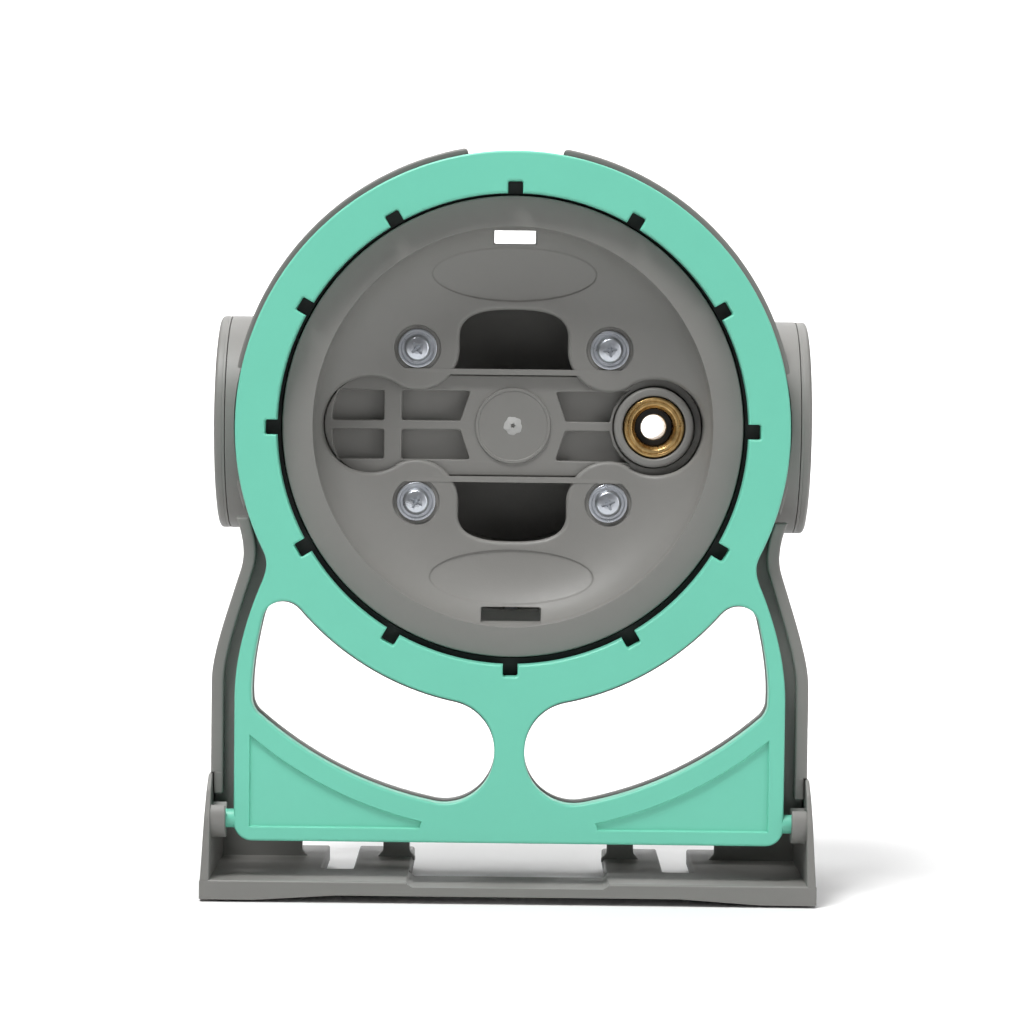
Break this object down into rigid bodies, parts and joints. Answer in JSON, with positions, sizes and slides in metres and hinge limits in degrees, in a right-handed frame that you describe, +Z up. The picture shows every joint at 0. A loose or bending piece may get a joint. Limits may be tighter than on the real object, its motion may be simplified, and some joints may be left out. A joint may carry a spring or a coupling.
{
  "type": "garden hose reel",
  "caption": "Free-standing garden hose reel: dished drum in a hinged mint front cover and grey stand on a slotted base, with rear crank and fold-back carry handle.",
  "frame": {"origin": "on the ground under the middle of the reel's box, 55.5 mm behind the drum's mid-plane", "axes": "+Z up, the front cover faces -Y, the drum turns about Y, +X is to the right seen from the front"},
  "size_m": [0.2688, 0.2411, 0.3291],
  "materials": {
    "mint_plastic": "satin moulded plastic",
    "grey_plastic": "fine matt moulded plastic",
    "black_nylon": "matt",
    "zinc_steel": "zinc plated",
    "brass": "turned, slightly dull",
    "rubber": "matt"
  },
  "bodies": {
    "stand": {"base_plate": "grey_plastic", "frame_front": "grey_plastic", "frame_rear": "grey_plastic", "bearing_front": "black_nylon", "bearing_rear": "black_nylon", "guard_left": "grey_plastic", "guard_right": "grey_plastic", "foot_front_left": "rubber", "side_screw_front_left": "zinc_steel", "foot_rear_left": "rubber", "side_screw_rear_left": "zinc_steel", "pivot_bolt_left": "zinc_steel", "foot_front_right": "rubber", "side_screw_front_right": "zinc_steel", "foot_rear_right": "rubber", "side_screw_rear_right": "zinc_steel", "pivot_bolt_right": "zinc_steel"},
    "cover": {"front_cover": "mint_plastic"},
    "drum": {"drum_front": "grey_plastic", "drum_rear": "grey_plastic", "drum_core": "grey_plastic", "hub_bridge": "grey_plastic", "connector_collar": "grey_plastic", "brass_connector": "brass", "connector_washer": "rubber", "connector_nut": "brass", "crank_arm": "grey_plastic", "crank_washer": "zinc_steel", "crank_bolt": "zinc_steel", "knob_pin": "zinc_steel", "drum_screw_1": "zinc_steel", "drum_screw_2": "zinc_steel", "drum_screw_3": "zinc_steel", "drum_screw_4": "zinc_steel", "drum_washer_1": "zinc_steel", "drum_washer_2": "zinc_steel", "drum_washer_3": "zinc_steel", "drum_washer_4": "zinc_steel"},
    "knob": {"crank_knob": "mint_plastic"},
    "handle": {"handle_grip": "grey_plastic", "grip_sleeve": "rubber", "handle_arm_left": "grey_plastic", "hub_cap_left": "grey_plastic", "grip_screw_left": "zinc_steel", "handle_arm_right": "grey_plastic", "hub_cap_right": "grey_plastic", "grip_screw_right": "zinc_steel"}
  },
  "joints": [
    {"name": "drum_spin", "type": "hinge", "parent": "stand", "child": "drum", "pos_m": [0, -0.0555, 0.2075], "axis": [0, 1, 0], "continuous": true},
    {"name": "knob_spin", "type": "hinge", "parent": "drum", "child": "knob", "pos_m": [0, 0.0225, 0.1195], "axis": [0, 1, 0], "continuous": true},
    {"name": "cover_hinge", "type": "hinge", "parent": "stand", "child": "cover", "pos_m": [0, -0.1075, 0.035], "axis": [1, 0, 0], "range_deg": [0, 80]},
    {"name": "handle_fold", "type": "hinge", "parent": "stand", "child": "handle", "pos_m": [0, -0.0555, 0.2075], "axis": [1, 0, 0], "range_deg": [0, 90]}
  ]
}
